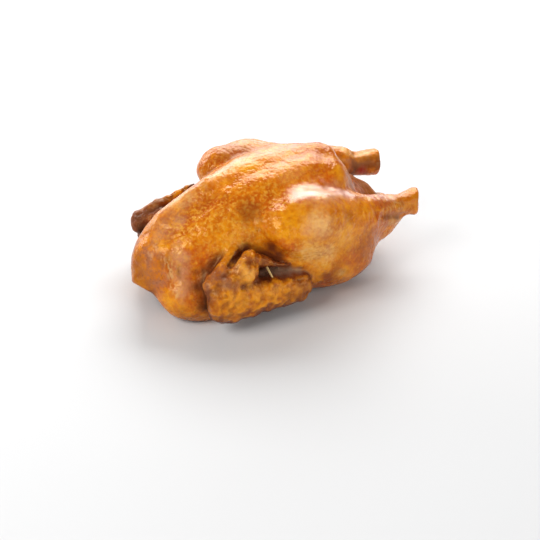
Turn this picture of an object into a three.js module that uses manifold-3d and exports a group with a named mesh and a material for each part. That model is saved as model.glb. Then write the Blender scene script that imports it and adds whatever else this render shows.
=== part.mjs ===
// A whole roast chicken, resting on its back with the breast up, the legs drawn back and the wings folded.
// Millimetres, +Z up. The origin is on the board, under the middle of the bird. The neck end is at -X, the
// hocks reach to +X, and -Y is the near side, which is the bird's own right.
//
// The bird is one skin over many muscles. Each muscle is a distance field, the muscles of one limb melt into
// each other, and the finished field is meshed, thinned to fewer triangles and cut flat where it rests.
import * as THREE from "three";
import Module from "manifold-3d";
import { mergeVertices } from "three/addons/utils/BufferGeometryUtils.js";
import { edgeTable, triTable } from "three/addons/objects/MarchingCubes.js";
import { SimplifyModifier } from "three/addons/modifiers/SimplifyModifier.js";

const torso = {
  ribs: { at: [-16, 0, 38], half: [92, 48, 40] },
  back: { at: [42, 0, 29], half: [60, 36, 30] },
  nearBreast: { at: [-26, -20, 65.5], half: [88, 29, 38], pitch: 15 },
  farBreast: { at: [-20, 19, 67], half: [74, 28, 38], pitch: 18 },
  keel: {
    path: [[-100, 8, 69], [-80, 7, 79.5], [-60, 6, 88.3], [-35, 4, 94], [0, 2, 98.7], [43, 0, 101.5]],
    girths: [12, 12.5, 13, 13, 12, 11],
  },
  neck: { from: [-98, -3, 41], to: [-110, -3, 41], girth: [31, 28] },
  neckFlap: { from: [-124, -2, 37], to: [-132, -9.5, 31.5], girth: [12, 10] }, // its loose skin, hanging to -Y
  neckScoop: { from: [-160.5, -30, 20], to: [-136.5, 11, -7.5], girth: [25, 25] }, // hollow under the loose skin
  shoulder: { at: [-87, 29, 21], half: [38, 28, 27] },
  belly: { from: [36, 0, 56], to: [83, 0, 41], girth: [40, 24] },
  tail: { from: [92, 0, 34], to: [113, 0, 40], girth: [15, 6], flat: 0.75 },
  vent: { at: [108, 0, 52], half: [11, 12, 4], pitch: -25 }, // the slit between belly and tail
};

// Where the bones of each side meet: x, distance from the middle plane, z. The flap is the skin that spans
// from the body to the wing.
const near = {
  side: -1,
  knee: [-20, 52, 69],
  kneeRoot: [2, 53, 72.5],
  calf: [90, 43, 57],
  ankle: 10.5,
  shank: [82, 44, 57.5],
  shankGirth: 9.9,
  hock: [121, 41, 54],
  hockCut: [0.87, -0.5, 0], // which way the sawn end of the shank faces
  knuckle: [12, 10.2, 10.2],
  wrist: [-90, 67, 34],
  bend: [-58, 60, 58],
  tip: [-26, 69, 46.5],
  handGirth: [11.5, 8],
  tipGirth: [7.4, 2.6],
  thumb: [-65, 67.5, 49],
  flap: [[-94, 61, 42], [-69, 51, 57]],
};
const far = {
  side: 1,
  knee: [-22, 54, 76],
  kneeRoot: [2, 53, 75],
  calf: [93, 42, 65.5],
  ankle: 14,
  shank: [88, 42, 63],
  shankGirth: 11.5,
  hock: [129, 34, 59.5],
  hockCut: [0.95, -0.3, -0.1],
  knuckle: [13, 12, 11.2],
  wrist: [-100, 62, 45],
  bend: [-88, 56, 58.4],
  tip: [-50, 59, 69.8],
  handGirth: [11.5, 7],
  tipGirth: [4.5, 3],
  thumb: [-82, 62, 44],
  flap: [[-104, 56, 44], [-90, 46, 56]],
};

const leg = {
  thigh: { at: [18, 45, 43], half: [58, 29, 41] },
  ham: { at: [37.5, 45, 27], half: [31, 26, 24] },
  web: { at: [70, 45, 44.5], half: [32, 8, 19] }, // the fold of skin that spans from thigh to shank
  girth: { knee: 25, calf: 25 },
  cutPast: 3,
};

const wing = {
  shoulder: [-80, 42, 34],
  innerElbow: [-16, 64, 26],
  elbow: [-22, 74.5, 24],
  forearm: [-84, 68, 28],
  squeeze: 1.6, // how much taller than thick the forearm is
  girth: { upper: [15, 13], forearm: [20, 12], flap: [9, 6] },
  thumbHalf: [9, 8, 11],
};

// Where the skin is drawn in (a depth above 0) or stands up in a fold (below 0), along a line from one
// point to another. The width is how far the hollow or fold reaches to each side.
const marks = [
  { from: [-119, -30, 54], to: [-123, -42, 34], width: 3.4, depth: -1.5 }, // folds of the near shoulder
  { from: [-104, -38, 62], to: [-113, -38, 52], width: 3.6, depth: -1 },
  { from: [-113, -38, 52], to: [-117, -48, 36], width: 3.4, depth: -1.3 },
  { from: [-116, -28, 60], to: [-120, -40, 38], width: 2.8, depth: 1.3 },
  { from: [-121, -21, 58], to: [-126, -34, 36], width: 4, depth: 1.2 },
  { from: [-121, 24, 57], to: [-125, 38, 33], width: 3.4, depth: -1.4 }, // and of the far shoulder
  { from: [-114, 30, 58], to: [-119, 44, 35], width: 3, depth: 1.4 },
  { from: [-102, -42, 52], to: [-102, -60, 28], width: 7.5, depth: 4 }, // valleys beside the wings
  { from: [-103, 42, 54], to: [-104, 56, 28], width: 6, depth: 3 },
  { from: [28, -27, 105], to: [-23, -38, 100], width: 6, depth: 0.7 }, // sides of the breast
  { from: [-23, -38, 100], to: [-52, -40, 90], width: 7, depth: 1 },
  { from: [20, 30, 106], to: [-50, 41, 92], width: 7, depth: 1 },
  { from: [52, -4, 104], to: [37, -36, 92], width: 5, depth: -1.4 }, // rear edge of the breast
  { from: [54, -2, 103], to: [44, -34, 92], width: 7, depth: -1.6 },
  { from: [26, -34, 101], to: [24, -32, 103], width: 4.5, depth: 2 },
  { from: [-75, -59.5, 57], to: [-59, -53, 61.5], width: 2.6, depth: 4.5 }, // slit before the wing's hand
  { from: [-44, -60, 70], to: [-30, -68, 56], width: 10, depth: 4.5 }, // hollows before the knees
  { from: [-44, 62, 66], to: [-32, 66, 50], width: 9, depth: 4.5 },
  { from: [-48, -50, 76], to: [-36, -50, 90], width: 3.6, depth: -0.8 },
  { from: [73, -60, 62.5], to: [102, -51, 49], width: 2.8, depth: 3 }, // tendons and folds of the shanks
  { from: [84, -44, 69], to: [95, -44, 68], width: 7, depth: 1.2 },
  { from: [66, -64, 61], to: [72, -60, 66], width: 3.5, depth: -1.2 },
  { from: [92, 36, 70], to: [121, 36, 73], width: 3, depth: 1.6 },
  { from: [80, 58, 60], to: [104, 50, 52], width: 3, depth: 1.6 },
  { from: [123, -35, 66], to: [127, -38, 68], width: 3.5, depth: -1.2 }, // torn edge of skin at the hock
  { from: [-55, -16, 97], to: [25, -18, 109.3], width: 9, depth: -1.8 }, // fullness beside the breastbone
];
const swell = [[7.3, 0.3], [3.4, 0.2]]; // waves of the whole skin: scale and height
const knobbles = [[2.7, 0.35]]; // and of the thin skin on the wings

// The wooden pick that spans from the tip of the near wing to its forearm, and the slack of its hole.
const pin = { from: [-46, -63.5, 50.6], to: [-42.3, -72.7, 37.6], radius: 0.9, sides: 14, slack: 0.3 };

const grid = { low: [-150, -96, -8], high: [142, 96, 122], step: 2.25 };
const keptVertices = 5300;

const blend = (a, b, width) => {
  const h = Math.max(width - Math.abs(a - b), 0) / width;
  return Math.min(a, b) - (h * h * width) / 4;
};
const carve = (a, b, width) => -blend(-a, b, width); // takes b away from a
function melt(...parts) {
  return (x, y, z) => parts.reduce((d, [field, width]) => blend(d, field(x, y, z), width), 1e3);
}

// An ellipsoid, pitched by degrees about Y.
function muscle({ at, half, pitch = 0 }) {
  const c = Math.cos(THREE.MathUtils.degToRad(pitch));
  const s = Math.sin(THREE.MathUtils.degToRad(pitch));
  return (x, y, z) => {
    const dx = x - at[0];
    const dz = z - at[2];
    const u = (c * dx + s * dz) / half[0];
    const v = (y - at[1]) / half[1];
    const w = (c * dz - s * dx) / half[2];
    const k = Math.hypot(u, v, w);
    return (k * (k - 1)) / Math.max(Math.hypot(u / half[0], v / half[1], w / half[2]), 1e-6);
  };
}

// A cone with round ends. A squeeze above 1 makes it thinner across Y than it is tall.
function limb(from, to, r1, r2 = r1, squeeze = 1) {
  const d = [to[0] - from[0], (to[1] - from[1]) * squeeze, to[2] - from[2]];
  const length2 = d[0] ** 2 + d[1] ** 2 + d[2] ** 2;
  return (x, y, z) => {
    const p = [x - from[0], (y - from[1]) * squeeze, z - from[2]];
    const t = THREE.MathUtils.clamp((p[0] * d[0] + p[1] * d[1] + p[2] * d[2]) / length2, 0, 1);
    const reach = Math.hypot(p[0] - d[0] * t, p[1] - d[1] * t, p[2] - d[2] * t);
    return (reach - r1 - (r2 - r1) * t) / Math.sqrt(squeeze);
  };
}

// Rounded bumps that never repeat in step, as the sum of crossed sine waves.
function waves(sizes, x, y, z) {
  const wave = (a, b, scale) => Math.sin(a / scale) * Math.cos(b / scale);
  return sizes.reduce((h, [s, height]) => h + height * (wave(x, y, s) + wave(y, z, s) + wave(z, x, s)), 0);
}

const on = (side, [x, y, z]) => [x, side * y, z];

function ridge({ path, girths }) {
  const runs = path.slice(1).map((end, n) => limb(path[n], end, girths[n], girths[n + 1]));
  return (x, y, z) => Math.min(...runs.map((run) => run(x, y, z)));
}

function torsoField() {
  const run = ({ from, to, girth, flat }) => limb(from, to, ...girth, flat);
  const pair = ({ at, half }, side) => muscle({ at: on(side, at), half });
  const flesh = melt(
    [muscle(torso.ribs), 1],
    [muscle(torso.back), 14],
    [muscle(torso.nearBreast), 14],
    [muscle(torso.farBreast), 14],
    [ridge(torso.keel), 16],
    [run(torso.neck), 20],
    [run(torso.neckFlap), 6],
    [pair(torso.shoulder, -1), 14],
    [pair(torso.shoulder, 1), 14],
    [run(torso.belly), 22],
    [run(torso.tail), 8],
  );
  const slit = muscle(torso.vent);
  const scoop = run(torso.neckScoop);
  return (x, y, z) => carve(carve(flesh(x, y, z), slit(x, y, z), 4), scoop(x, y, z), 2);
}

function legField(bones) {
  const p = (point) => on(bones.side, point);
  const { girth } = leg;
  const flesh = melt(
    [muscle({ at: p(leg.thigh.at), half: leg.thigh.half }), 1],
    [muscle({ at: p(leg.ham.at), half: leg.ham.half }), 12],
    [limb(p(bones.knee), p(bones.kneeRoot), girth.knee), 14],
    [limb(p(bones.kneeRoot), p(bones.calf), girth.calf, bones.ankle), 12],
    [limb(p(bones.shank), p(bones.hock), bones.shankGirth), 8],
    [muscle({ at: p(bones.hock), half: bones.knuckle }), 6],
    [muscle({ at: p(leg.web.at), half: leg.web.half }), 10],
  );
  const facing = new THREE.Vector3(...bones.hockCut).normalize();
  const reach = facing.dot(new THREE.Vector3(...p(bones.hock))) + leg.cutPast;
  return (x, y, z) => carve(flesh(x, y, z), reach - facing.x * x - facing.y * y - facing.z * z, 3);
}

function wingField(bones) {
  const p = (point) => on(bones.side, point);
  const { girth } = wing;
  const flesh = melt(
    [limb(p(wing.shoulder), p(wing.innerElbow), ...girth.upper), 1],
    [limb(p(wing.forearm), p(wing.elbow), ...girth.forearm, wing.squeeze), 7],
    [limb(p(bones.wrist), p(bones.bend), ...bones.handGirth), 5],
    [limb(p(bones.bend), p(bones.tip), ...bones.tipGirth), 4],
    [muscle({ at: p(bones.thumb), half: wing.thumbHalf }), 5],
  );
  return (x, y, z) => flesh(x, y, z) + waves(knobbles, x, y, z);
}

const flapField = (bones) => limb(...bones.flap.map((end) => on(bones.side, end)), ...wing.girth.flap);

const body = melt(
  [torsoField(), 1],
  [flapField(near), 10],
  [flapField(far), 10],
  [legField(near), 10],
  [legField(far), 9],
  [wingField(near), 3],
  [wingField(far), 3],
);
const lines = marks.map(({ from, to }) => limb(from, to, 0));

function field(x, y, z) {
  const fold = ({ width, depth }, i) => depth * Math.exp(-((lines[i](x, y, z) / width) ** 2));
  const drawn = marks.reduce((d, mark, i) => d + fold(mark, i), 0);
  return body(x, y, z) + drawn + waves(swell, x, y, z);
}

// The corners and edges of a cube in the order that the marching cubes tables use.
const corners = [[0, 0, 0], [1, 0, 0], [1, 1, 0], [0, 1, 0], [0, 0, 1], [1, 0, 1], [1, 1, 1], [0, 1, 1]];
const cubeEdges = [
  [0, 1], [1, 2], [2, 3], [3, 0], [4, 5], [5, 6], [6, 7], [7, 4], [0, 4], [1, 5], [2, 6], [3, 7],
];

function polygonise({ low, high, step }) {
  const [nx, ny, nz] = low.map((v, i) => Math.ceil((high[i] - v) / step) + 1);
  const index = (i, j, k) => i + nx * (j + ny * k);
  const values = new Float32Array(nx * ny * nz);
  for (let k = 0; k < nz; k++)
    for (let j = 0; j < ny; j++)
      for (let i = 0; i < nx; i++)
        values[index(i, j, k)] = field(low[0] + i * step, low[1] + j * step, low[2] + k * step);

  const points = [];
  const faces = [];
  const known = new Map();
  const crossing = (from, to) => {
    const a = index(...from);
    const b = index(...to);
    const key = Math.min(a, b) * values.length + Math.max(a, b);
    if (!known.has(key)) {
      const t = values[a] / (values[a] - values[b]);
      known.set(key, points.length / 3);
      points.push(...low.map((v, m) => v + step * (from[m] + (to[m] - from[m]) * t)));
    }
    return known.get(key);
  };
  for (let k = 0; k < nz - 1; k++)
    for (let j = 0; j < ny - 1; j++)
      for (let i = 0; i < nx - 1; i++) {
        const cube = corners.map(([a, b, c]) => [i + a, j + b, k + c]);
        const code = cube.reduce((bits, corner, n) => bits | ((values[index(...corner)] < 0) << n), 0);
        const corner = ([a, b], n) => edgeTable[code] & (1 << n) && crossing(cube[a], cube[b]);
        const crossed = cubeEdges.map(corner);
        for (let t = code * 16; triTable[t] >= 0; t += 3)
          faces.push(crossed[triTable[t]], crossed[triTable[t + 2]], crossed[triTable[t + 1]]);
      }
  const geometry = new THREE.BufferGeometry();
  geometry.setAttribute("position", new THREE.Float32BufferAttribute(points, 3));
  geometry.setIndex(faces);
  return geometry;
}

const wasm = await Module();
wasm.setup();

function solidOf(geometry) {
  const bare = geometry.clone();
  bare.deleteAttribute("normal");
  bare.deleteAttribute("uv");
  const merged = mergeVertices(bare);
  return new wasm.Manifold(
    new wasm.Mesh({
      numProp: 3,
      vertProperties: new Float32Array(merged.attributes.position.array),
      triVerts: new Uint32Array(merged.index.array),
    }),
  );
}

function geometryOf(solid) {
  const { vertProperties, triVerts } = solid.getMesh();
  const geometry = new THREE.BufferGeometry();
  geometry.setAttribute("position", new THREE.BufferAttribute(vertProperties, 3));
  geometry.setIndex(new THREE.BufferAttribute(triVerts, 1));
  geometry.computeVertexNormals();
  return geometry;
}

// A round rod between two points, made longer at both ends and thicker by the slack.
function rodGeometry({ from, to, radius, sides }, slack = 0) {
  const start = new THREE.Vector3(...from);
  const end = new THREE.Vector3(...to);
  const length = start.distanceTo(end) + 2 * slack;
  const geometry = new THREE.CylinderGeometry(radius + slack, radius + slack, length, sides);
  const along = end.clone().sub(start).normalize();
  geometry.applyQuaternion(new THREE.Quaternion().setFromUnitVectors(new THREE.Vector3(0, 1, 0), along));
  const middle = start.add(end).multiplyScalar(0.5);
  return geometry.translate(middle.x, middle.y, middle.z);
}

async function chickenGeometry() {
  const full = polygonise(grid);
  const thinned = await new SimplifyModifier().modify(full, full.attributes.position.count - keptVertices);
  const aboveBoard = new THREE.BoxGeometry(400, 300, 200).translate(0, 0, 100);
  const parts = solidOf(thinned).intersect(solidOf(aboveBoard)).decompose();
  const bird = parts.sort((a, b) => b.volume() - a.volume())[0];
  return geometryOf(bird.subtract(solidOf(rodGeometry(pin, pin.slack))));
}

const roast = new THREE.Group();
const add = (name, geometry, material) => {
  const mesh = new THREE.Mesh(geometry, new THREE.MeshStandardMaterial(material));
  mesh.name = name;
  roast.add(mesh);
};
add("chicken", await chickenGeometry(), { color: 0xc46f1b, roughness: 0.35 });
add("wing_pin", rodGeometry(pin), { color: 0xd8b566, roughness: 0.7 });

export default roast;
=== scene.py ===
import bpy
import math
import numpy as np
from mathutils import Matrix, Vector


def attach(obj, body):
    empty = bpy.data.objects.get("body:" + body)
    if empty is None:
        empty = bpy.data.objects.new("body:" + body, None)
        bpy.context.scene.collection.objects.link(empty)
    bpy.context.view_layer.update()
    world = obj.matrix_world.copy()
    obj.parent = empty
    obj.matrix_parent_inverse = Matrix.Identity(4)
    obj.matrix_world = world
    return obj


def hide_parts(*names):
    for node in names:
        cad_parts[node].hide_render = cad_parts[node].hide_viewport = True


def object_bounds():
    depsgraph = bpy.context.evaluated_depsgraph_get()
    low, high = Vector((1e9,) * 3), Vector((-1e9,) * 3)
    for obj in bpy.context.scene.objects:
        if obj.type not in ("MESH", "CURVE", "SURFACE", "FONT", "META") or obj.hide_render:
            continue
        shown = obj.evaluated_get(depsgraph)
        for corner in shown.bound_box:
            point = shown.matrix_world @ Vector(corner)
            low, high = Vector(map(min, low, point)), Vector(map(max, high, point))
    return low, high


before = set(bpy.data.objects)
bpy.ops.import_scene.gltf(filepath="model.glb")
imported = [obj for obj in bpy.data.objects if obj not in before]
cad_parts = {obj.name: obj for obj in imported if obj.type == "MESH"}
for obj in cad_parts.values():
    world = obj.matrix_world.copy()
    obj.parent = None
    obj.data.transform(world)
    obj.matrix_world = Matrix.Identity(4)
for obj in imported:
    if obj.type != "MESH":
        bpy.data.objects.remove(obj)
cadBox = [list(corner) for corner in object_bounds()]
mm = 0.001
tiny = 1e-6
seed = 11
dice = np.random.default_rng(seed)

cameraSetup = {
    "azimuth": -30,       # degrees, seen from above, 0 is square on to the near side
    "elevation": 30,
    "distance": 950 * mm,
    "target": (0, 0, 38 * mm),
    "targetPixel": (275, 230),
    "imageSize": 540,
    "focalPixels": 1064,
    "sensor": 36,
    "clipStart": 50 * mm,
}


def addCamera(setup):
    turn = math.radians(setup["azimuth"])
    rise = math.radians(setup["elevation"])
    back = Vector((math.sin(turn) * math.cos(rise), -math.cos(turn) * math.cos(rise), math.sin(rise)))
    right = Vector((math.cos(turn), math.sin(turn), 0))
    up = back.cross(right)
    target = Vector(setup["target"])
    perPixel = setup["distance"] / setup["focalPixels"]
    middle = setup["imageSize"] / 2
    aim = target - right * (setup["targetPixel"][0] - middle) * perPixel
    aim += up * (setup["targetPixel"][1] - middle) * perPixel
    lens = bpy.data.cameras.new("camera")
    lens.sensor_width = setup["sensor"]
    lens.lens = setup["sensor"] * setup["focalPixels"] / setup["imageSize"]
    lens.clip_start = setup["clipStart"]
    camera = bpy.data.objects.new("camera", lens)
    camera.location = target + back * setup["distance"]
    camera.rotation_euler = (aim - camera.location).to_track_quat("-Z", "Y").to_euler()
    bpy.context.scene.collection.objects.link(camera)
    bpy.context.scene.camera = camera


addCamera(cameraSetup)
print("camera placed")


# The bird is one distance field, in millimetres: above zero outside the skin and below zero in the flesh.
# Muscles and bones make up each part of it, and the parts melt into one another over a width of their own.

def blend(a, b, width):
    h = np.maximum(width - np.abs(a - b), 0) / width
    return np.minimum(a, b) - h * h * width / 4


def carve(a, b, width):
    return -blend(-a, b, width)


def melt(first, *others):
    def field(p):
        d = first(p)
        for part, width in others:
            d = blend(d, part(p), width)
        return d
    return field


def muscle(at, half, pitch=0):
    c = math.cos(math.radians(pitch))
    s = math.sin(math.radians(pitch))

    def field(p):
        dx = p[0] - at[0]
        dz = p[2] - at[2]
        u = (c * dx + s * dz) / half[0]
        v = (p[1] - at[1]) / half[1]
        w = (c * dz - s * dx) / half[2]
        k = np.sqrt(u * u + v * v + w * w)
        slope = np.sqrt((u / half[0]) ** 2 + (v / half[1]) ** 2 + (w / half[2]) ** 2)
        return k * (k - 1) / np.maximum(slope, tiny)
    return field


def limb(start, end, r1, r2=None, squeeze=1.0):
    r2 = r1 if r2 is None else r2
    d = (end[0] - start[0], (end[1] - start[1]) * squeeze, end[2] - start[2])
    length2 = max(d[0] ** 2 + d[1] ** 2 + d[2] ** 2, tiny)

    def field(p):
        x = p[0] - start[0]
        y = (p[1] - start[1]) * squeeze
        z = p[2] - start[2]
        t = np.clip((x * d[0] + y * d[1] + z * d[2]) / length2, 0, 1)
        reach = np.sqrt((x - d[0] * t) ** 2 + (y - d[1] * t) ** 2 + (z - d[2] * t) ** 2)
        return (reach - r1 - (r2 - r1) * t) / math.sqrt(squeeze)
    return field


def ridge(path, girths):
    runs = [limb(*ends) for ends in zip(path, path[1:], girths, girths[1:])]
    return lambda p: np.minimum.reduce([run(p) for run in runs])


def waves(sizes, p):
    total = 0
    for scale, height in sizes:
        x, y, z = [q / scale for q in p]
        total = total + height * (np.sin(x) * np.cos(y) + np.sin(y) * np.cos(z) + np.sin(z) * np.cos(x))
    return total


def onSide(side, point):
    return (point[0], side * point[1], point[2])


torso = {
    "ribs": {"at": (-16, 0, 38), "half": (92, 48, 40)},
    "back": {"at": (42, 0, 29), "half": (60, 36, 30)},
    "nearBreast": {"at": (-26, -20, 65.5), "half": (88, 29, 38), "pitch": 15},
    "farBreast": {"at": (-20, 19, 67), "half": (74, 28, 38), "pitch": 18},
    "keel": {
        "path": ((-100, 8, 69), (-80, 7, 79.5), (-60, 6, 88.3), (-35, 4, 94), (0, 2, 98.7), (43, 0, 101.5)),
        "girths": (12, 12.5, 13, 13, 12, 11),
    },
    "neck": {"start": (-98, -3, 41), "end": (-110, -3, 41), "girth": (31, 28)},
    "neckFlap": {"start": (-124, -2, 37), "end": (-132, -9.5, 31.5), "girth": (12, 10)},
    "neckScoop": {"start": (-160.5, -30, 20), "end": (-136.5, 11, -7.5), "girth": (25, 25)},
    "shoulder": {"at": (-87, 29, 21), "half": (38, 28, 27)},
    "belly": {"start": (36, 0, 56), "end": (83, 0, 41), "girth": (40, 24)},
    "tail": {"start": (92, 0, 34), "end": (113, 0, 40), "girth": (15, 6), "squeeze": 0.75},
    "vent": {"at": (108, 0, 52), "half": (11, 12, 4), "pitch": -25},
    "melts": {
        "back": 14, "breast": 14, "keel": 16, "neck": 20, "neckFlap": 6, "shoulder": 14, "belly": 22,
        "tail": 8, "vent": 4, "neckScoop": 2,
    },
}


def torsoField():
    def shoulder(side):
        return muscle(onSide(side, torso["shoulder"]["at"]), torso["shoulder"]["half"])

    def run(part):
        return limb(part["start"], part["end"], *part["girth"], part.get("squeeze", 1.0))
    width = torso["melts"]
    flesh = melt(
        muscle(**torso["ribs"]),
        (muscle(**torso["back"]), width["back"]),
        (muscle(**torso["nearBreast"]), width["breast"]),
        (muscle(**torso["farBreast"]), width["breast"]),
        (ridge(**torso["keel"]), width["keel"]),
        (run(torso["neck"]), width["neck"]),
        (run(torso["neckFlap"]), width["neckFlap"]),
        (shoulder(-1), width["shoulder"]),
        (shoulder(1), width["shoulder"]),
        (run(torso["belly"]), width["belly"]),
        (run(torso["tail"]), width["tail"]),
    )
    slit = muscle(**torso["vent"])
    scoop = run(torso["neckScoop"])
    return lambda p: carve(carve(flesh(p), slit(p), width["vent"]), scoop(p), width["neckScoop"])


# The bones of the two sides, given as if both were on the +Y side: the legs lie a little differently, and the
# far wing is folded higher.
near = {
    "side": -1, "knee": (-20, 52, 69), "kneeRoot": (2, 53, 72.5),
    "calf": (90, 43, 57), "ankle": 10.5, "shank": (82, 44, 57.5), "shankGirth": 9.9,
    "hock": (121, 41, 54), "hockCut": (0.87, -0.5, 0), "knuckle": (12, 10.2, 10.2),
    "wrist": (-90, 67, 34), "bend": (-58, 60, 58), "tip": (-26, 69, 46.5), "thumb": (-65, 67.5, 49),
    "handGirth": (11.5, 8), "tipGirth": (7.4, 2.6), "flap": ((-94, 61, 42), (-69, 51, 57)),
}
far = {
    "side": 1, "knee": (-22, 54, 76), "kneeRoot": (2, 53, 75),
    "calf": (93, 42, 65.5), "ankle": 14, "shank": (88, 42, 63), "shankGirth": 11.5,
    "hock": (129, 34, 59.5), "hockCut": (0.95, -0.3, -0.1), "knuckle": (13, 12, 11.2),
    "wrist": (-100, 62, 45), "bend": (-88, 56, 58.4), "tip": (-50, 59, 69.8), "thumb": (-82, 62, 44),
    "handGirth": (11.5, 7), "tipGirth": (4.5, 3), "flap": ((-104, 56, 44), (-90, 46, 56)),
}
leg = {
    "thigh": {"at": (18, 45, 43), "half": (58, 29, 41)},
    "ham": {"at": (37.5, 45, 27), "half": (31, 26, 24)},
    "web": {"at": (70, 45, 44.5), "half": (32, 8, 19)},
    "girth": {"knee": 25, "calf": 25},
    "cutPast": 3,       # how far past the hock's middle the shank is cut off
    "melts": {"ham": 12, "knee": 14, "calf": 12, "shank": 8, "knuckle": 6, "web": 10, "cut": 3},
}


def legField(bones):
    def at(point):
        return onSide(bones["side"], point)
    girth = leg["girth"]
    width = leg["melts"]
    flesh = melt(
        muscle(at(leg["thigh"]["at"]), leg["thigh"]["half"]),
        (muscle(at(leg["ham"]["at"]), leg["ham"]["half"]), width["ham"]),
        (limb(at(bones["knee"]), at(bones["kneeRoot"]), girth["knee"]), width["knee"]),
        (limb(at(bones["kneeRoot"]), at(bones["calf"]), girth["calf"], bones["ankle"]), width["calf"]),
        (limb(at(bones["shank"]), at(bones["hock"]), bones["shankGirth"]), width["shank"]),
        (muscle(at(bones["hock"]), bones["knuckle"]), width["knuckle"]),
        (muscle(at(leg["web"]["at"]), leg["web"]["half"]), width["web"]),
    )
    facing = Vector(bones["hockCut"]).normalized()
    reach = facing.dot(Vector(at(bones["hock"]))) + leg["cutPast"]

    def field(p):
        short = reach - facing[0] * p[0] - facing[1] * p[1] - facing[2] * p[2]
        return carve(flesh(p), short, width["cut"])
    return field


wing = {
    "shoulder": (-80, 42, 34), "innerElbow": (-16, 64, 26),
    "forearm": (-84, 68, 28), "elbow": (-22, 74.5, 24),
    "squeeze": 1.6,
    "girth": {"upper": (15, 13), "forearm": (20, 12), "flap": (9, 6)},
    "thumbHalf": (9, 8, 11),
    "knobbles": ((2.7, 0.35),),     # length and height of the waves in its skin
    "melts": {"forearm": 7, "hand": 5, "tip": 4, "thumb": 5},
}


def wingField(bones):
    def at(point):
        return onSide(bones["side"], point)
    girth = wing["girth"]
    width = wing["melts"]
    flesh = melt(
        limb(at(wing["shoulder"]), at(wing["innerElbow"]), *girth["upper"]),
        (limb(at(wing["forearm"]), at(wing["elbow"]), *girth["forearm"], wing["squeeze"]), width["forearm"]),
        (limb(at(bones["wrist"]), at(bones["bend"]), *bones["handGirth"]), width["hand"]),
        (limb(at(bones["bend"]), at(bones["tip"]), *bones["tipGirth"]), width["tip"]),
        (muscle(at(bones["thumb"]), wing["thumbHalf"]), width["thumb"]),
    )
    return lambda p: flesh(p) + waves(wing["knobbles"], p)


def flapField(bones):
    return limb(*(onSide(bones["side"], end) for end in bones["flap"]), *wing["girth"]["flap"])


whole = {"flap": 10, "nearLeg": 10, "farLeg": 9, "wing": 3}    # over how much each melts into the torso
swell = ((7.3, 0.3), (3.4, 0.2))                               # length and height of the waves all over
marks = [  # start, end, width and depth of each furrow, or fold where the depth is below zero
    ((-119, -30, 54), (-123, -42, 34), 3.4, -1.5),     # folds of the near shoulder
    ((-104, -38, 62), (-113, -38, 52), 3.6, -1.0),
    ((-113, -38, 52), (-117, -48, 36), 3.4, -1.3),
    ((-116, -28, 60), (-120, -40, 38), 2.8, 1.3),
    ((-121, -21, 58), (-126, -34, 36), 4, 1.2),
    ((-121, 24, 57), (-125, 38, 33), 3.4, -1.4),       # and of the far shoulder
    ((-114, 30, 58), (-119, 44, 35), 3, 1.4),
    ((-102, -42, 52), (-102, -60, 28), 7.5, 4),        # valleys beside the wings
    ((-103, 42, 54), (-104, 56, 28), 6, 3),
    ((28, -27, 105), (-23, -38, 100), 6, 0.7),         # sides of the breast
    ((-23, -38, 100), (-52, -40, 90), 7, 1.0),
    ((20, 30, 106), (-50, 41, 92), 7, 1.0),
    ((52, -4, 104), (37, -36, 92), 5, -1.4),           # rear edge of the breast
    ((54, -2, 103), (44, -34, 92), 7, -1.6),
    ((26, -34, 101), (24, -32, 103), 4.5, 2),
    ((-75, -59.5, 57), (-59, -53, 61.5), 2.6, 4.5),    # slit between the hand and the skin before it
    ((-44, -60, 70), (-30, -68, 56), 10, 4.5),         # hollows before the knees
    ((-44, 62, 66), (-32, 66, 50), 9, 4.5),
    ((-48, -50, 76), (-36, -50, 90), 3.6, -0.8),       # fold before the near knee
    ((73, -60, 62.5), (102, -51, 49), 2.8, 3),         # tendons and folds of the shanks
    ((84, -44, 69), (95, -44, 68), 7, 1.2),
    ((66, -64, 61), (72, -60, 66), 3.5, -1.2),
    ((92, 36, 70), (121, 36, 73), 3, 1.6),
    ((80, 58, 60), (104, 50, 52), 3, 1.6),
    ((123, -35, 66), (127, -38, 68), 3.5, -1.2),       # torn edge of skin at the hock
    ((-55, -16, 97), (25, -18, 109.3), 9, -1.8),       # fullness beside the breastbone
]
markLines = [(limb(start, end, 0), width, depth) for start, end, width, depth in marks]
bird = {
    "torso": torsoField(), "nearLeg": legField(near), "farLeg": legField(far),
    "nearWing": wingField(near), "farWing": wingField(far),
}
body = melt(
    bird["torso"], (flapField(near), whole["flap"]), (flapField(far), whole["flap"]),
    (bird["nearLeg"], whole["nearLeg"]), (bird["farLeg"], whole["farLeg"]),
    (bird["nearWing"], whole["wing"]), (bird["farWing"], whole["wing"]),
)


def skinField(p):
    d = body(p) + waves(swell, p)
    for line, width, depth in markLines:
        d = d + depth * np.exp(-((line(p) / width) ** 2))
    return np.maximum(d, -p[2])


netting = {
    "low": (-146, -92, -5.6),
    "high": (142, 92, 120),
    "step": 1.4,
    "block": 4,            # cells to a side of the coarse blocks that are sorted first
    "margin": 11,          # how near the skin a block must be to be looked at closely
    "rounds": 3,           # times the net is drawn onto the skin, with the slope taken over this probe
    "probe": 0.4,
    "flattest": 0.05,      # least squared slope that is trusted
    "normalProbe": 0.8,
}


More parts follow.
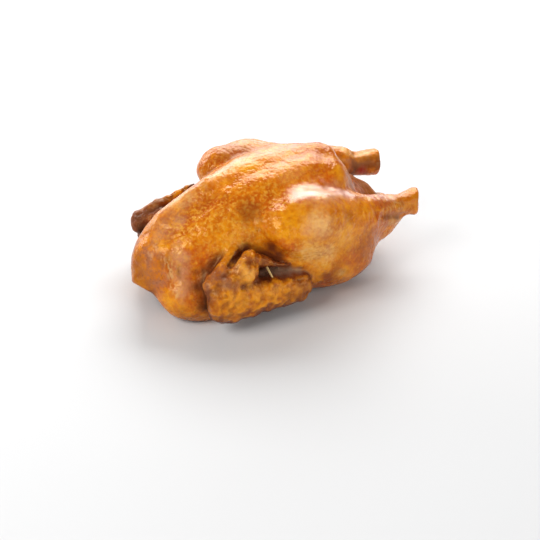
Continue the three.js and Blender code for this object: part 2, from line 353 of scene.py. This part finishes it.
def sampleField(net):
    step, block = net["step"], net["block"]
    count = [math.ceil((high - low) / (step * block)) for low, high in zip(net["low"], net["high"])]
    axes = [low + step * block * (np.arange(n) + 0.5) - step / 2 for low, n in zip(net["low"], count)]
    coarse = np.stack([a.ravel() for a in np.meshgrid(*axes, indexing="ij")]).astype(np.float32)
    rough = skinField(coarse).reshape(count)
    values = rough.repeat(block, 0).repeat(block, 1).repeat(block, 2)
    close = (np.abs(rough) < net["margin"]).repeat(block, 0).repeat(block, 1).repeat(block, 2)
    where = np.nonzero(close)
    points = np.stack([low + step * w for low, w in zip(net["low"], where)]).astype(np.float32)
    values[where] = skinField(points)
    return values


# One point for each cell that the skin runs through, at the mean of where it cuts the cell's edges.
def netPoints(values, cell, corners):
    total = np.zeros(cell.shape)
    hits = np.zeros(cell.shape[1])
    for a in corners:
        for axis in range(3):
            if a[axis]:
                continue
            b = tuple(v + (n == axis) for n, v in enumerate(a))
            va = values[tuple(cell[n] + a[n] for n in range(3))]
            vb = values[tuple(cell[n] + b[n] for n in range(3))]
            crossed = (va < 0) != (vb < 0)
            t = np.where(crossed, va / np.where(crossed, va - vb, 1), 0)
            for n in range(3):
                total[n] += crossed * (a[n] + (n == axis) * t)
            hits += crossed
    return cell + total / hits


# One face for each edge of the grid that the skin cuts, between the four cells around that edge.
def netFaces(inside, number):
    faces = []
    for axis in range(3):
        u, v = (axis + 1) % 3, (axis + 2) % 3
        first = inside[tuple(slice(0, -1) if n == axis else slice(1, -1) for n in range(3))]
        second = inside[tuple(slice(1, None) if n == axis else slice(1, -1) for n in range(3))]
        for outward in (True, False):
            edge = np.stack(np.nonzero((first & ~second) if outward else (~first & second)))
            edge = edge + np.array([[0 if n == axis else 1] for n in range(3)])
            ring = [(0, 0), (1, 0), (1, 1), (0, 1)] if outward else [(0, 0), (0, 1), (1, 1), (1, 0)]
            quad = []
            for du, dv in ring:
                at = edge.copy()
                at[u] -= 1 - du
                at[v] -= 1 - dv
                quad.append(number[tuple(at)])
            faces.append(np.stack(quad, 1))
    return np.concatenate(faces)


def netSurface(net):
    values = sampleField(net)
    inside = values < 0
    cells = tuple(n - 1 for n in values.shape)
    mixed = np.zeros(cells, dtype=np.int8)
    corners = [(i, j, k) for i in (0, 1) for j in (0, 1) for k in (0, 1)]
    for i, j, k in corners:
        mixed += inside[i:i + cells[0], j:j + cells[1], k:k + cells[2]]
    cell = np.stack(np.nonzero((mixed > 0) & (mixed < len(corners))))
    number = np.full(cells, -1, dtype=np.int64)
    number[tuple(cell)] = np.arange(cell.shape[1])
    points = netPoints(values, cell, corners) * net["step"] + np.array(net["low"])[:, None]
    return points, netFaces(inside, number)


def slopeOf(field, p, probe):
    grad = []
    for n in range(3):
        step = np.zeros((3, 1))
        step[n] = probe
        grad.append((field(p + step) - field(p - step)) / (2 * probe))
    return np.stack(grad)


def settle(field, points, net):
    for _ in range(net["rounds"]):
        grad = slopeOf(field, points, net["probe"])
        points = points - grad * field(points) / np.maximum((grad ** 2).sum(0), net["flattest"])
    return points


points, faces = netSurface(netting)
points = settle(skinField, points, netting)
points[2] = np.maximum(points[2], 0)
normals = slopeOf(skinField, points, netting["normalProbe"])
normals /= np.linalg.norm(normals, axis=0)
print("skin netted:", points.shape[1], "points", len(faces), "faces")


def smooth(low, high, value):
    t = np.clip((value - low) / (high - low), 0, 1)
    return t * t * (3 - 2 * t)


def ripples(length, stretch=(1, 1, 1), count=26, shortest=0.7, longest=1.35):
    k = dice.normal(size=(count, 3))
    k /= np.linalg.norm(k, axis=1)[:, None]
    k *= (2 * math.pi / length * dice.uniform(shortest, longest, count))[:, None]
    k /= np.array(stretch)
    phase = dice.uniform(0, 2 * math.pi, (count, 1))
    return lambda p: np.sin(k @ p + phase).sum(0) / math.sqrt(count / 2)


def pores(spacing, radius, margin=0.1, wrap=(17, 19, 23)):
    shift = dice.uniform(margin, 1 - margin, (3, *wrap))
    around = [(i, j, k) for i in (-1, 0, 1) for j in (-1, 0, 1) for k in (-1, 0, 1)]

    def field(p):
        cell = np.floor(p / spacing).astype(int)
        best = np.full(p.shape[1], np.inf)
        for step in around:
            c = cell + np.array(step)[:, None]
            heart = (c + shift[:, c[0] % wrap[0], c[1] % wrap[1], c[2] % wrap[2]]) * spacing
            best = np.minimum(best, ((p - heart) ** 2).sum(0))
        return np.exp(-best / radius ** 2)
    return field


# What is where on the bird. A pair of values is where each begins and is full, in millimetres or as a slope.
regions = {
    "wing": (-2, 3),
    "leg": (-4, 6),
    "offBoard": (0.3, 4),
    "shelter": ((2.5, 0.35), (5, 0.35), (10, 0.3)),    # probes for skin close by: how far out, and share
    "underFacing": (-0.1, -0.9),
    "underHeight": (60, 20),
    "thin": 7,                                         # how far in a probe looks for the other side
    "shankFace": (-1.6, -0.7), "shankRadius": 20,
    "bone": (6.2, 5.0), "meatInner": (5.0, 6.2), "meatOuter": (9.6, 8.2),
    "hockNear": 30,
}


def shelterOf(place, outward):
    total = np.zeros(place.shape[1])
    for distance, share in regions["shelter"]:
        total += share * (1 - np.clip(skinField(place + outward * distance) / distance, 0, 1))
    return total


def shankEnd(bones, place):
    heart = np.array(onSide(bones["side"], bones["hock"]))[:, None]
    facing = np.array(Vector(bones["hockCut"]).normalized())[:, None]
    off = place - heart
    along = (off * facing).sum(0)
    across = np.linalg.norm(off - facing * along, axis=0)
    face = smooth(*regions["shankFace"], along - leg["cutPast"]) * (across < regions["shankRadius"])
    return {
        "hock": np.exp(-(np.linalg.norm(off, axis=0) / regions["hockNear"]) ** 2),
        "bone": face * smooth(*regions["bone"], across),
        "meat": face * smooth(*regions["meatInner"], across) * smooth(*regions["meatOuter"], across),
    }


reach = {name: field(points) for name, field in bird.items()}
wingReach = np.minimum(reach["nearWing"], reach["farWing"])
legReach = np.minimum(reach["nearLeg"], reach["farLeg"])
isWing = smooth(*regions["wing"], np.minimum(reach["torso"], legReach) - wingReach)
isLeg = smooth(*regions["leg"], reach["torso"] - legReach) * (1 - isWing)
offBoard = smooth(*regions["offBoard"], points[2])
# How closely other skin crowds each point; the colour below darkens with it, painted shade in creases and
# valleys.
shelter = shelterOf(points, normals)
# Low, downward-facing skin, darkened in the colour below as painted shade on the undersides.
undersideShade = smooth(*regions["underFacing"], normals[2]) * smooth(*regions["underHeight"], points[2])
thin = 1 - np.clip(-skinField(points - normals * regions["thin"]) / regions["thin"], 0, 1)
shankEnds = [shankEnd(bones, points) for bones in (near, far)]
hockNear, boneEnd, meatRing = [sum(end[part] for end in shankEnds) for part in ("hock", "bone", "meat")]

creases = {
    "crinkle": {"length": 13, "width": 0.33, "depth": 0.55, "tight": 0.4},    # the share left on tight skin
    "fineCrinkle": {"length": 6.5, "width": 0.4, "depth": 0.22},
    "drift": 34,                                                              # from tight skin to slack
    "shank": {
        "length": 4.5, "stretch": (1, 5, 3), "height": 0.16, "middle": 72, "spread": 20, "side": (-30, -50),
    },
    "pores": {"spacing": 6.2, "radius": 1.9, "height": 0.28, "offLeg": 0.3},
    "crags": {"length": 10, "height": 0.75},                                  # the lumps of the wings
    "knots": {"length": 5.2, "share": 0.8},
    "slack": {"all": 0.07, "wing": 0.9, "hock": 0.6, "shelter": 1.1, "most": 1.2},
    "sunk": {"meat": 1.4, "bone": 0.35},
}


def softStep(wave):
    return 0.5 + 0.5 * np.tanh(wave)


def bell(offset, width):
    return np.exp(-((offset / width) ** 2))


crinkle = ripples(creases["crinkle"]["length"])
fineCrinkle = ripples(creases["fineCrinkle"]["length"])
drift = ripples(creases["drift"])
shankWrinkles = ripples(creases["shank"]["length"], stretch=creases["shank"]["stretch"])
follicles = pores(creases["pores"]["spacing"], creases["pores"]["radius"])
crags = ripples(creases["crags"]["length"])
knots = ripples(creases["knots"]["length"])
crest = softStep(crags(points) + creases["knots"]["share"] * knots(points))


def slackness():
    part = creases["slack"]
    total = part["all"] + part["wing"] * isWing + part["hock"] * hockNear + part["shelter"] * shelter
    return np.clip(total, 0, part["most"])


def foldHeight():
    coarse, fine = creases["crinkle"], creases["fineCrinkle"]
    slack = slackness()
    share = coarse["tight"] + (1 - coarse["tight"]) * softStep(drift(points))
    height = -coarse["depth"] * bell(crinkle(points), coarse["width"]) * slack * share
    return height - fine["depth"] * bell(fineCrinkle(points), fine["width"]) * slack


def poreHeight():
    part = creases["pores"]
    share = part["offLeg"] + (1 - part["offLeg"]) * isLeg
    return part["height"] * follicles(points) * (1 - isWing) * share


def shankHeight():
    part = creases["shank"]
    here = bell(points[0] - part["middle"], part["spread"]) * smooth(*part["side"], points[1]) * isLeg
    return part["height"] * shankWrinkles(points) * here


height = foldHeight() + poreHeight() + shankHeight()
height += creases["crags"]["height"] * (crest - 0.5) * isWing
height -= creases["sunk"]["meat"] * meatRing + creases["sunk"]["bone"] * boneEnd
lowest, highest = [np.array(corner)[:, None] / mm for corner in cadBox]
moved = np.clip(points + normals * height * offBoard, lowest, highest)
print("skin folded")


# Tones laid on the skin: the middle or the two ends of each dab, its radius and its strength. Some are
# browning and colour of the skin, and some are painted light and shade, as said at each list; sheen sets only
# the gloss of the coat. The far side has those of the near side too, a little moved, and dabs of the far side
# alone have y above zero.
tones = {
    # Scorched skin and painted shade together: besides browned patches, these darken the valleys beside the
    # wings, the neck fold, the low front and undersides, the belly, the rear of the legs and the far wing,
    # thigh and drumstick.
    "scorchAndShade": [
        ((10, -72, 24), 9, 0.7), ((-11, -76, 28), 8, 0.6), ((30, -70, 77), 7, 0.3),
        ((-47, -39, 88), 12, 0.5), ((96, -46, 60), (112, -42, 58), 14, 0.3),
        ((-95, -46, 46), (-98, -54, 22), 9, 0.78), ((-117, -26, 54), 6, 0.4),
        ((-22, 48, 100), (-8, 40, 101), 14, 0.4), ((-92, -60, 48), (-97, -66, 36), 9, 0.3),
        ((-98, -66, 24), 7, 0.8), ((-137, -9, 44), (-136, -14, 31), 14, 0.5), ((-138, -6, 26), 7, 0.8),
        ((-108, -42, 10), 15, 0.5), ((48, -55, 20), 14, 0.5), ((-20, -82, 22), 13, 0.5),
        ((16, -70, 25), 14, 0.5), ((24, -76, 50), 14, 0.1), ((52, -66, 40), 20, 0.35),
        ((90, -50, 52), 20, 0.3), ((78, -58, 57), (98, -51, 50), 3, 0.6), ((106, 0, 50), 9, 0.9),
        ((88, -8, 66), 24, 0.7), ((62, -26, 84), 16, 0.6), ((-104, 54, 49), 17, 0.9),
        ((-87, 52, 62), 13, 0.8), ((104, 29, 62), (126, 21, 63), 10, 0.8), ((122, 22, 63), 8, 0.4),
    ],
    # Painted shade in the hollows before the near knee and at the end of the wing's slit.
    "hollow": [
        ((-38, -60, 62), 7, 1), ((-34, -63, 57), 7, 1), ((-42, -56, 52), 8, 0.7),
        ((-60, -55, 58), 7, 0.5),
    ],
    "yellow": [
        ((-20, -68, 91), 15, 0.9), ((-32, -70, 84), 13, 0.9), ((2, -73, 40), 11, 0.8),
        ((-73, -44, 67), 22, 0.6), ((26, -71, 24), 10, 0.8), ((-78, -79, 35), 16, 0.4),
        ((-68, -70, 51), 11, 0.8), ((-118, -18, 70), 9, 0.5), ((-52, -42, 74), 12, 0.4),
        ((20, -74, 62), 18, 0.85), ((-14, -76, 60), 16, 0.9), ((-113, -45, 18), 13, 0.5),
        ((-122, -39, 24), 9, 0.7), ((-137, -12, 31), 3.5, 1), ((-60, -80, 34), 14, 0.4),
        ((-84, -30, 80), (-62, -38, 82), 14, 0.5), ((-26, 0, 108), 10, 0.8),
        ((46, -30, 100), (45, -38, 92), 5, 0.9),
    ],
    "rosy": [
        ((-126, -14, 56), (-128, -24, 40), 13, 0.9), ((-101, -2, 76), 11, 0.7), ((-92, -2, 80), 9, 0.6),
        ((-112, -8, 70), 10, 0.6), ((-98, -66, 42), (-88, -60, 52), 8, 1),
        ((-94, -68, 34), (-84, -70, 46), 7, 0.8), ((49, -70, 44), 18, 0.4), ((68, -62, 48), 16, 0.55),
        ((90, -52, 52), 12, 0.5), ((96, 0, 58), 16, 0.3), ((100, 30, 62), 14, 0.8),
    ],
    "salmon": [
        ((-108, -30, 62), (-113, -43, 34), 8, 0.75), ((-96, -10, 79), 7, 0.6), ((-86, -72, 49), 5, 0.8),
        ((-74, -66, 56), (-60, -62, 59), 5, 0.45), ((-115, -8, 72), 8, 0.4), ((-4, -78, 83), 12, 0.5),
        ((0, -20, 106), 16, 0.3), ((12, -58, 98), 14, 0.5),
    ],
    # Deep orange-red colour; the dabs in the valley beside the near wing paint a redder shade there.
    "deep": [
        ((-29, -72, 62), 11, 1), ((-45, -40, 92), 12, 0.5), ((-22, 48, 100), (-8, 40, 101), 15, 0.9),
        ((-90, -28, 78), (20, -32, 98), 15, 0.4), ((-40, -34, 92), 14, 0.8),
        ((32, -34, 99), (20, -38, 98), 7, 1), ((-92, -38, 58), (-98, -48, 26), 15, 1),
        ((60, -64, 66), 10, 0.4), ((40, -72, 38), (60, -64, 42), 13, 0.4), ((-84, -44, 56), 9, 0.7),
        ((44, -30, 84), 12, 0.6), ((-104, 54, 52), 16, 0.6), ((-49, 0, 104), (26, -29, 104), 3, 0.6),
    ],
    # Where the straw flecks show most: yellow in the skin and painted glints of light on its bumps, together.
    "fleckAndGlint": [
        ((-95, -20, 76), (-30, -36, 90), 22, 1), ((-75, -42, 66), (-45, -44, 72), 14, 0.8),
        ((0, -30, 98), 20, 0.5), ((-14, -76, 60), (6, -76, 50), 15, 1.3), ((14, -78, 66), 20, 0.5),
        ((34, -72, 52), 18, 0.4), ((96, -50, 62), 16, 0.4),
    ],
    "sheen": [
        ((-2, -52, 101), (40, -52, 92), 14, 1), ((40, -52, 92), (90, -48, 72), 9, 0.6),
        ((-98, 8, 80), (-30, 12, 104), 8, 0.5), ((-30, 8, 106), (20, 6, 108), 9, 0.2),
    ],
    # Painted highlights in pale cream, on the near thigh, the wing, the breastbone's ridge and the shanks.
    "creamHighlight": [
        ((-14, -76, 60), (6, -75, 50), 11, 0.5), ((-3, -78, 84), 13, 0.6), ((24, -73, 26), 4, 0.7),
        ((-90, 4, 84), (-40, 6, 103), 8, 0.5), ((-68, -70, 51), 9, 0.35),
        ((96, 36, 78), (120, 30, 74), 6, 0.5), ((86, -55, 50), (96, -52, 46), 5, 0.5),
    ],
    # Painted highlights: thin lit crests of the folds on the near shoulder, before the near knee and along
    # the near shank.
    "streakHighlight": [
        ((-117, -28, 57), (-118, -33, 44), 3, 0.6), ((-118, -37, 38), (-119, -42, 31), 3, 0.6),
        ((-48, -49, 72), (-38, -50, 86), 2.2, 0.8), ((72, -62, 60), (98, -52, 62), 6, 0.4),
    ],
    # Painted shade: the skin of the upper arm as it shows, greyed by shade, in the gap under the near wing
    # tip.
    "gapShade": [((-56, -60, 46), (-18, -66, 36), 6, 0.8)],
    "raw": [((109, 26, 57), 5.5, 1), ((108, 30, 54), 4, 0.8)],
}
dabbing = {
    "waves": (11, 5),         # lengths of the waves that make a dab's edge uneven
    "shortShare": 0.6,
    "uneven": 0.13,
    "edge": (0.2, 1.45),      # where a dab begins to fade and is gone, in radii
    "farShift": 7,            # how far the far side's dabs are moved at most
    "sheenEnd": (35, 15),     # the sheen is gone, and full, at these distances past the breastbone
}


def toneOf(dabs, p):
    long, short = dabbing["waves"]
    wander = ripples(long)(p) + dabbing["shortShare"] * ripples(short)(p)
    tone = np.zeros(p.shape[1])
    for *ends, radius, strength in dabs:
        shift = dice.uniform(-dabbing["farShift"], dabbing["farShift"])
        for side, along in [(1, 0)] if ends[0][1] > 0 else [(1, 0), (-1, shift)]:
            start, end = [(x + along, side * y, z) for x, y, z in (ends[0], ends[-1])]
            away = limb(start, end, 0)(p) / radius + dabbing["uneven"] * wander
            tone = np.maximum(tone, strength * (1 - smooth(*dabbing["edge"], away)))
    return tone


def meshPiece(name, points, faces, facts):
    mesh = bpy.data.meshes.new(name)
    mesh.from_pydata((points.T * mm).tolist(), [], faces.tolist())
    mesh.polygons.foreach_set("use_smooth", [True] * len(mesh.polygons))
    for fact, values in facts.items():
        mesh.attributes.new(fact, "FLOAT", "POINT").data.foreach_set("value", values.astype(np.float32))
    mesh.update()
    piece = bpy.data.objects.new(name, mesh)
    bpy.context.scene.collection.objects.link(piece)
    return piece


skinFacts = {
    "shelter": shelter, "undersideShade": undersideShade, "thin": thin, "wing": isWing, "crest": crest,
    "bone": boneEnd, "meat": meatRing, **{tone: toneOf(dabs, points) for tone, dabs in tones.items()},
}
skinFacts["sheen"] *= smooth(*dabbing["sheenEnd"], points[1])
skin = meshPiece("roastSkin", moved, faces, skinFacts)
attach(skin, "root")
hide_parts("chicken")
print("skin made")


# A socket that can be reckoned with, so that 1 - mask adds the Math node it needs.
class Wire:
    def __init__(self, tree, socket=None):
        self.tree = tree
        self.socket = socket

    def make(self, kind, settings=None, sockets=None, out=0):
        node = self.tree.nodes.new(kind)
        for name, value in (settings or {}).items():
            setattr(node, name, value)
        for key, value in (sockets or {}).items():
            if isinstance(value, Wire):
                self.tree.links.new(value.socket, node.inputs[key])
            else:
                node.inputs[key].default_value = value
        return Wire(self.tree, node.outputs[out])

    def math(self, operation, a, b=0.0, clamp=False):
        return self.make("ShaderNodeMath", {"operation": operation, "use_clamp": clamp}, {0: a, 1: b})

    def __add__(self, other):
        return self.math("ADD", self, other)

    def __radd__(self, other):
        return self.math("ADD", other, self)

    def __sub__(self, other):
        return self.math("SUBTRACT", self, other)

    def __rsub__(self, other):
        return self.math("SUBTRACT", other, self)

    def __mul__(self, other):
        return self.math("MULTIPLY", self, other)

    def __rmul__(self, other):
        return self.math("MULTIPLY", other, self)

    def clamped(self):
        return self.math("ADD", self, 0.0, clamp=True)

    def between(self, low, high):
        return self.make("ShaderNodeMapRange", {"interpolation_type": "SMOOTHSTEP"},
                         {"Value": self, "From Min": low, "From Max": high})

    def fact(self, name):
        return self.make("ShaderNodeAttribute", {"attribute_name": name}, out="Fac")

    def place(self):
        return self.make("ShaderNodeTexCoord", out="Object")

    def stretched(self, place, scale):
        return self.make("ShaderNodeVectorMath", {"operation": "MULTIPLY"}, {0: place, 1: scale})

    def pores(self, place, scale, smoothness=0.7):
        return self.make("ShaderNodeTexVoronoi", {"feature": "SMOOTH_F1"},
                         {"Vector": place, "Scale": scale, "Smoothness": smoothness})

    def noise(self, place, scale, detail, roughness=0.5, distortion=0.0):
        return self.make("ShaderNodeTexNoise", {}, {
            "Vector": place, "Scale": scale, "Detail": detail,
            "Roughness": roughness, "Distortion": distortion})

    def mix(self, factor, a, b):
        return self.make("ShaderNodeMix", {"data_type": "RGBA"}, {0: factor, 6: a, 7: b}, out=2)

    def feed(self, shader, name):
        self.tree.links.new(self.socket, shader.inputs[name])


def newFinish(name, settings):
    material = bpy.data.materials.new(name)
    material.use_nodes = True
    shader = material.node_tree.nodes["Principled BSDF"]
    for socket, value in settings.items():
        shader.inputs[socket].default_value = value
    return material, Wire(material.node_tree), shader


skinLook = {
    "tones": {
        "gold": (0.72, 0.20, 0.003, 1),
        "amber": (0.50, 0.09, 0.002, 1),
        "sun": (0.86, 0.33, 0.006, 1),
        "straw": (0.90, 0.46, 0.06, 1),
        # Of these, cream is used for painted highlights, ash for painted shade, and russet, char and ember
        # partly for painted shade.
        "creamHighlight": (0.88, 0.52, 0.18, 1),
        "rose": (0.40, 0.145, 0.07, 1),
        "salmon": (0.66, 0.33, 0.17, 1),
        "ember": (0.60, 0.105, 0.003, 1),
        "russet": (0.15, 0.028, 0.006, 1),
        "charAndShade": (0.03, 0.009, 0.005, 1),
        "gapShadeGrey": (0.27, 0.15, 0.095, 1),
        "blood": (0.30, 0.012, 0.006, 1),
        "boneEnd": (0.62, 0.47, 0.30, 1),
        "meat": (0.30, 0.09, 0.045, 1),
    },
    "noises": {      # scale to the metre, detail, roughness and distortion
        "broad": (24, 2), "patch": (62, 3, 0.55, 0.3), "mottle": (165, 3, 0.6), "flecks": (360, 1, 0.5, 0.3),
        "grain": (620, 2, 0.6), "veins": (150, 2, 0.5, 0.3),
    },
    "streaks": {"stretch": (1, 1, 0.16), "noise": (480, 1)},
    "pores": {"pits": 300, "bumps": 230},
    "edges": {       # between which values of its noise, or of its dabs, a layer goes from none to all
        "broad": (0.4, 0.62), "patch": (0.5, 0.3), "mottle": (0.58, 0.28), "rosy": (0.7, 0.35),
        "sunny": (0.44, 0.74), "flecks": (0.4, 0.78), "crest": (0.4, 1.0), "streaks": (0.46, 0.6),
        "brown": (0.15, 0.85), "charAndShade": (0.5, 1.0), "charShelter": (0, 0.5), "pits": (0.3, 0.1),
    },
    "shares": {      # how much of a layer shows where it is all there
        "patch": 0.35, "mottle": 0.45, "rosy": 0.95, "sunny": 0.6, "flecks": 0.16, "fleckDabs": 0.5,
        "crest": 0.7, "creamHighlight": 1.6, "pits": 0.04, "rosyPits": 0.4, "salmon": 0.3,
    },
    "plain": {"rosy": 0.7, "scorchAndShade": 0.6},      # how far these keep the pale layers away
    # How much russet each fact lays on: shelter and under add painted shade in creases and on undersides, the
    # wing's crests take it off as painted light, and the rest is browning.
    "brown": {
        "shelter": 1.1, "undersideShade": 0.6, "thin": 0.2, "patch": 0.35, "start": 0.25,
        "wing": 0.68, "crest": 0.2, "flecks": 0.2, "yellow": 0.3,
    },
    "relief": {
        "bumps": 0.7, "veins": 2.0, "flecks": 0.7, "wingFlecks": 1.0, "mottle": 0.4, "grain": 0.15,
        "rosyCalm": 0.2, "sheenCalm": 0.8, "strength": 0.5, "depth": 1.0 * mm,
    },
    "roughness": {
        "base": 0.17, "mottle": 0.25, "scorchAndShade": 0.22,
        "facts": {"rosy": 0.14, "wing": 0.05, "shelter": 0.3, "sheen": 0.15},
    },
    "coat": {"base": 0.7, "mottle": 0.5},
    "shader": {
        "Coat Roughness": 0.4, "Coat IOR": 2.1, "IOR": 1.5, "Specular Tint": (1.0, 0.72, 0.35, 1),
        "Subsurface Weight": 0.1, "Subsurface Radius": (1.0, 0.35, 0.1), "Subsurface Scale": 3 * mm,
    },
}


# Each layer's tone and how much of it shows, from the lowest up.
def skinLayers(look, fact, noise, scorchAndShade):
    edge, share, plainness, brown = look["edges"], look["shares"], look["plain"], look["brown"]
    mottle, flecks = noise["mottle"], noise["flecks"]
    plain = 1 - fact["rosy"] * plainness["rosy"] - scorchAndShade * plainness["scorchAndShade"]
    fleckShare = fact["fleckAndGlint"] * share["fleckDabs"] + share["flecks"]
    pitShare = fact["rosy"] * share["rosyPits"] + share["pits"]
    # On the wing, the crests of the lumps take less russet and more sun: painted light on the crests and
    # painted shade between them, following the relief.
    wingBrown = brown["wing"] - flecks * brown["flecks"]
    for name in ("crest", "yellow"):
        wingBrown = wingBrown - fact[name] * brown[name]
    # Russet from browning of the wing, thin skin and patches, plus painted shade in creases and on
    # undersides.
    roastedAndShaded = fact["wing"] * wingBrown + noise["patch"] * brown["patch"] - brown["start"]
    for name in ("shelter", "undersideShade", "thin"):
        roastedAndShaded = roastedAndShaded + fact[name] * brown[name]
    # Near-black where scorched dabs reach into creases: char and painted deep shade in one.
    charredAndShaded = fact["scorchAndShade"].between(*edge["charAndShade"]) * fact["shelter"].between(*edge["charShelter"])
    return [
        ("amber", noise["broad"].between(*edge["broad"])),
        ("sun", fact["yellow"]),
        ("ember", fact["deep"]),
        ("amber", noise["patch"].between(*edge["patch"]) * share["patch"]),
        ("amber", mottle.between(*edge["mottle"]) * share["mottle"]),
        ("rose", fact["rosy"] * mottle.between(*edge["rosy"]) * share["rosy"]),
        ("salmon", fact["salmon"] * (mottle + share["salmon"]).clamped()),
        ("sun", mottle.between(*edge["sunny"]) * plain * share["sunny"]),
        # Straw flecks: yellow skin and painted glints on its bumps.
        ("straw", flecks.between(*edge["flecks"]) * plain * fleckShare),
        # Painted light on the crests of the wing's lumps.
        ("sun", fact["crest"].between(*edge["crest"]) * fact["wing"] * plain * mottle * share["crest"]),
        # Painted highlights in cream: the cream dabs, then the streaks.
        ("creamHighlight", fact["creamHighlight"] * (flecks * share["creamHighlight"]).clamped()),
        ("creamHighlight", fact["streakHighlight"] * noise["streaks"].between(*edge["streaks"])),
        ("russet", roastedAndShaded.between(*edge["brown"])),
        ("russet", scorchAndShade),
        ("charAndShade", charredAndShaded),
        ("russet", noise["pits"].between(*edge["pits"]) * pitShare),
        ("gapShadeGrey", fact["gapShade"]),
        ("blood", fact["raw"]),
        ("boneEnd", fact["bone"]),
        ("meat", fact["meat"]),
    ]


def skinNormal(wire, look, fact, noise):
    part = look["relief"]
    calm = 1 - (fact["rosy"] * part["rosyCalm"] + fact["sheen"] * part["sheenCalm"]).clamped()
    veins = wire.math("ABSOLUTE", noise["veins"] - 0.5)
    lively = noise["flecks"] * (part["flecks"] + fact["wing"] * part["wingFlecks"])
    lively = lively - noise["bumps"] * part["bumps"] - veins * part["veins"]
    relief = lively * calm + noise["mottle"] * part["mottle"] + noise["grain"] * part["grain"]
    return wire.make("ShaderNodeBump", {}, {
        "Height": relief, "Strength": part["strength"], "Distance": part["depth"]})


def skinRoughness(look, fact, noise, scorchAndShade):
    part = look["roughness"]
    rough = part["base"] + (noise["mottle"] - 0.5) * part["mottle"] + scorchAndShade * part["scorchAndShade"]
    for name, share in part["facts"].items():
        rough = rough + fact[name] * share
    return rough


def skinFinish(look):
    material, wire, shader = newFinish("roast skin", look["shader"])
    place = wire.place()
    fact = {name: wire.fact(name) for name in skinFacts}
    noise = {name: wire.noise(place, *values) for name, values in look["noises"].items()}
    noise.update({name: wire.pores(place, scale) for name, scale in look["pores"].items()})
    along = wire.stretched(place, look["streaks"]["stretch"])
    noise["streaks"] = wire.noise(along, *look["streaks"]["noise"])
    # The scorch dabs together with the painted shade of the hollows, kept off the wings.
    scorchAndShade = wire.math("MAXIMUM", fact["scorchAndShade"], fact["hollow"] * (1 - fact["wing"]))
    color = look["tones"]["gold"]
    for tone, share in skinLayers(look, fact, noise, scorchAndShade):
        color = wire.mix(share, color, look["tones"][tone])
    coat = fact["sheen"] * (look["coat"]["base"] + noise["mottle"] * look["coat"]["mottle"])
    color.feed(shader, "Base Color")
    skinRoughness(look, fact, noise, scorchAndShade).feed(shader, "Roughness")
    skinNormal(wire, look, fact, noise).feed(shader, "Normal")
    coat.clamped().feed(shader, "Coat Weight")
    return material


skin.data.materials.append(skinFinish(skinLook))

pickLook = {
    "pale": (0.80, 0.56, 0.22, 1),
    "dark": (0.50, 0.27, 0.07, 1),
    "grain": (900, 3, 0.6),
    "edge": (0.35, 0.7),
    "shader": {"Roughness": 0.55},
}


def pickFinish(look):
    material, wire, shader = newFinish("pick wood", look["shader"])
    grain = wire.noise(wire.place(), *look["grain"])
    wire.mix(grain.between(*look["edge"]), look["pale"], look["dark"]).feed(shader, "Base Color")
    return material


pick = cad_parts["wing_pin"]
pick.data.materials.clear()
pick.data.materials.append(pickFinish(pickLook))
print("finishes made")


studio = {
    "floorSize": 6,
    "floor": {"Base Color": (0.7, 0.7, 0.7, 1), "Roughness": 0.6},
    "world": {"Color": (0.95, 0.97, 1, 1), "Strength": 0.12},
    "aim": (0, 0, 50 * mm),
    "softboxes": {
        "rimLight": {"place": (0.3, 1.6, 0.55), "size": (3.0, 0.6), "watts": 22},
        "sheenLight": {"place": (0.62, 0.78, 0.98), "size": (1.3, 0.7), "watts": 19},
        "leftLight": {"place": (-1.15, -0.15, 0.95), "size": (0.8, 0.8), "watts": 15},
        "frontLight": {"place": (0.55, -1.25, 0.55), "size": (1.7, 0.9), "watts": 10.5},
    },
}


def addFloor():
    bpy.ops.mesh.primitive_plane_add(size=studio["floorSize"], location=(0, 0, 0))
    floor = bpy.context.object
    floor.name = "floor"
    material, _, _ = newFinish("pale floor", studio["floor"])
    floor.data.materials.append(material)


def addWorld():
    world = bpy.data.worlds.new("studio")
    world.use_nodes = True
    for socket, value in studio["world"].items():
        world.node_tree.nodes["Background"].inputs[socket].default_value = value
    bpy.context.scene.world = world


def addSoftbox(name, place, size, watts):
    lamp = bpy.data.lights.new(name, "AREA")
    lamp.shape = "RECTANGLE"
    lamp.size, lamp.size_y = size
    lamp.energy = watts
    box = bpy.data.objects.new(name, lamp)
    box.location = place
    box.rotation_euler = (Vector(studio["aim"]) - Vector(place)).to_track_quat("-Z", "Y").to_euler()
    bpy.context.scene.collection.objects.link(box)


addFloor()
addWorld()
for name, softbox in studio["softboxes"].items():
    addSoftbox(name, **softbox)
bpy.context.scene.view_settings.view_transform = "Standard"
print("lights placed")
